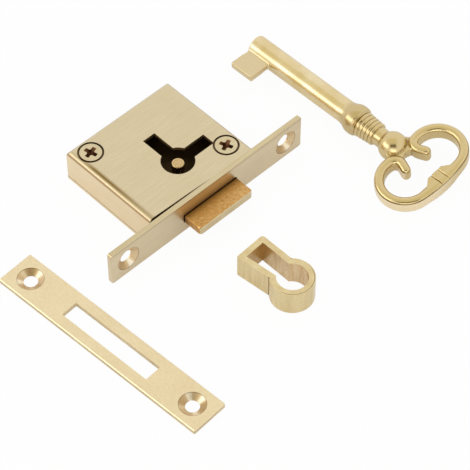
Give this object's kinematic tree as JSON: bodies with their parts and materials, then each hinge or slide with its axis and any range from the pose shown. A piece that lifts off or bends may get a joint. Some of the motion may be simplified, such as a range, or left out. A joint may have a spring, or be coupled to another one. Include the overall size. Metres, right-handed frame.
{
  "type": "cabinet lock",
  "caption": "Small brass cut cabinet lock with a long faceplate and thrown bolt, shown with its ornate pipe key, flat strike plate and keyhole insert.",
  "frame": {"origin": "on the drill pin's axis, at the back face of the case, on which the lock lies", "axes": "+X along the faceplate towards the key, -Y the way the bolt is thrown, +Z out of the keyhole along the drill pin"},
  "size_m": [0.122, 0.0857, 0.0116],
  "materials": {
    "case_brass": "fine brushed, lacquered",
    "faceplate_brass": "polished",
    "screw_brass": "brass plated, satin",
    "pin_brass": "turned",
    "inner_brass": "turned",
    "bolt_brass": "raw, drawn",
    "lever_brass": "stamped sheet",
    "spring_steel": "spring steel strip",
    "key_brass": "cast and polished",
    "strike_brass": "brushed along its length",
    "insert_brass": "sawn and filed"
  },
  "bodies": {
    "lock_case": {"base_plate": "case_brass", "cover": "case_brass", "faceplate": "faceplate_brass", "cover_screws": "screw_brass", "cover_pillars": "inner_brass", "drill_pin": "pin_brass", "guide_post": "inner_brass", "guide_sleeves": "inner_brass", "lever_post": "inner_brass", "lever_spacers": "inner_brass"},
    "bolt": {"bolt": "bolt_brass", "bolt_stump": "pin_brass"},
    "lower_lever": {"lower_lever": "lever_brass"},
    "lower_lever_spring": {"lower_lever_spring": "spring_steel"},
    "middle_lever": {"middle_lever": "lever_brass"},
    "middle_lever_spring": {"middle_lever_spring": "spring_steel"},
    "upper_lever": {"upper_lever": "lever_brass"},
    "upper_lever_spring": {"upper_lever_spring": "spring_steel"},
    "key": {"key": "key_brass"},
    "strike_plate": {"strike_plate": "strike_brass"},
    "keyhole_insert": {"keyhole_insert": "insert_brass"}
  },
  "joints": [
    {"name": "bolt_slide", "type": "slide", "parent": "lock_case", "child": "bolt", "axis": [0, 1, 0], "range_m": [0, 0.0064]},
    {"name": "lower_lever_hinge", "type": "hinge", "parent": "lock_case", "child": "lower_lever", "pos_m": [-0.00865, 0.01651, 0.00235], "axis": [0, 0, 1], "range_deg": [0, 2.5], "stiffness_Nm_per_rad": 0.01, "springref_deg": 11.46},
    {"name": "lower_spring_hinge", "type": "hinge", "parent": "lower_lever", "child": "lower_lever_spring", "pos_m": [-0.01685, 0.0086, 0.00235], "axis": [0, 0, 1], "range_deg": [-5, 0]},
    {"name": "middle_lever_hinge", "type": "hinge", "parent": "lock_case", "child": "middle_lever", "pos_m": [-0.00865, 0.01651, 0.00665], "axis": [0, 0, 1], "range_deg": [0, 2.5], "stiffness_Nm_per_rad": 0.01, "springref_deg": 11.46},
    {"name": "middle_spring_hinge", "type": "hinge", "parent": "middle_lever", "child": "middle_lever_spring", "pos_m": [-0.01685, 0.0086, 0.00665], "axis": [0, 0, 1], "range_deg": [-5, 0]},
    {"name": "upper_lever_hinge", "type": "hinge", "parent": "lock_case", "child": "upper_lever", "pos_m": [-0.00865, 0.01651, 0.00815], "axis": [0, 0, 1], "range_deg": [0, 2.5], "stiffness_Nm_per_rad": 0.01, "springref_deg": 11.46},
    {"name": "upper_spring_hinge", "type": "hinge", "parent": "upper_lever", "child": "upper_lever_spring", "pos_m": [-0.01685, 0.0086, 0.00815], "axis": [0, 0, 1], "range_deg": [-5, 0]},
    {"name": "key_lift", "type": "slide", "parent": "lock_case", "child": "key", "axis": [0, 0, 1], "range_m": [0, 0.06]},
    {"name": "strike_lift", "type": "slide", "parent": "lock_case", "child": "strike_plate", "axis": [0, 0, 1], "range_m": [0, 0.03]},
    {"name": "insert_lift", "type": "slide", "parent": "lock_case", "child": "keyhole_insert", "axis": [0, 0, 1], "range_m": [0, 0.03]}
  ],
  "couplings": [
    {"joint": "lower_spring_hinge", "follows": "lower_lever_hinge", "ratio": -1.6038},
    {"joint": "middle_spring_hinge", "follows": "middle_lever_hinge", "ratio": -1.6038},
    {"joint": "upper_spring_hinge", "follows": "upper_lever_hinge", "ratio": -1.6038}
  ]
}
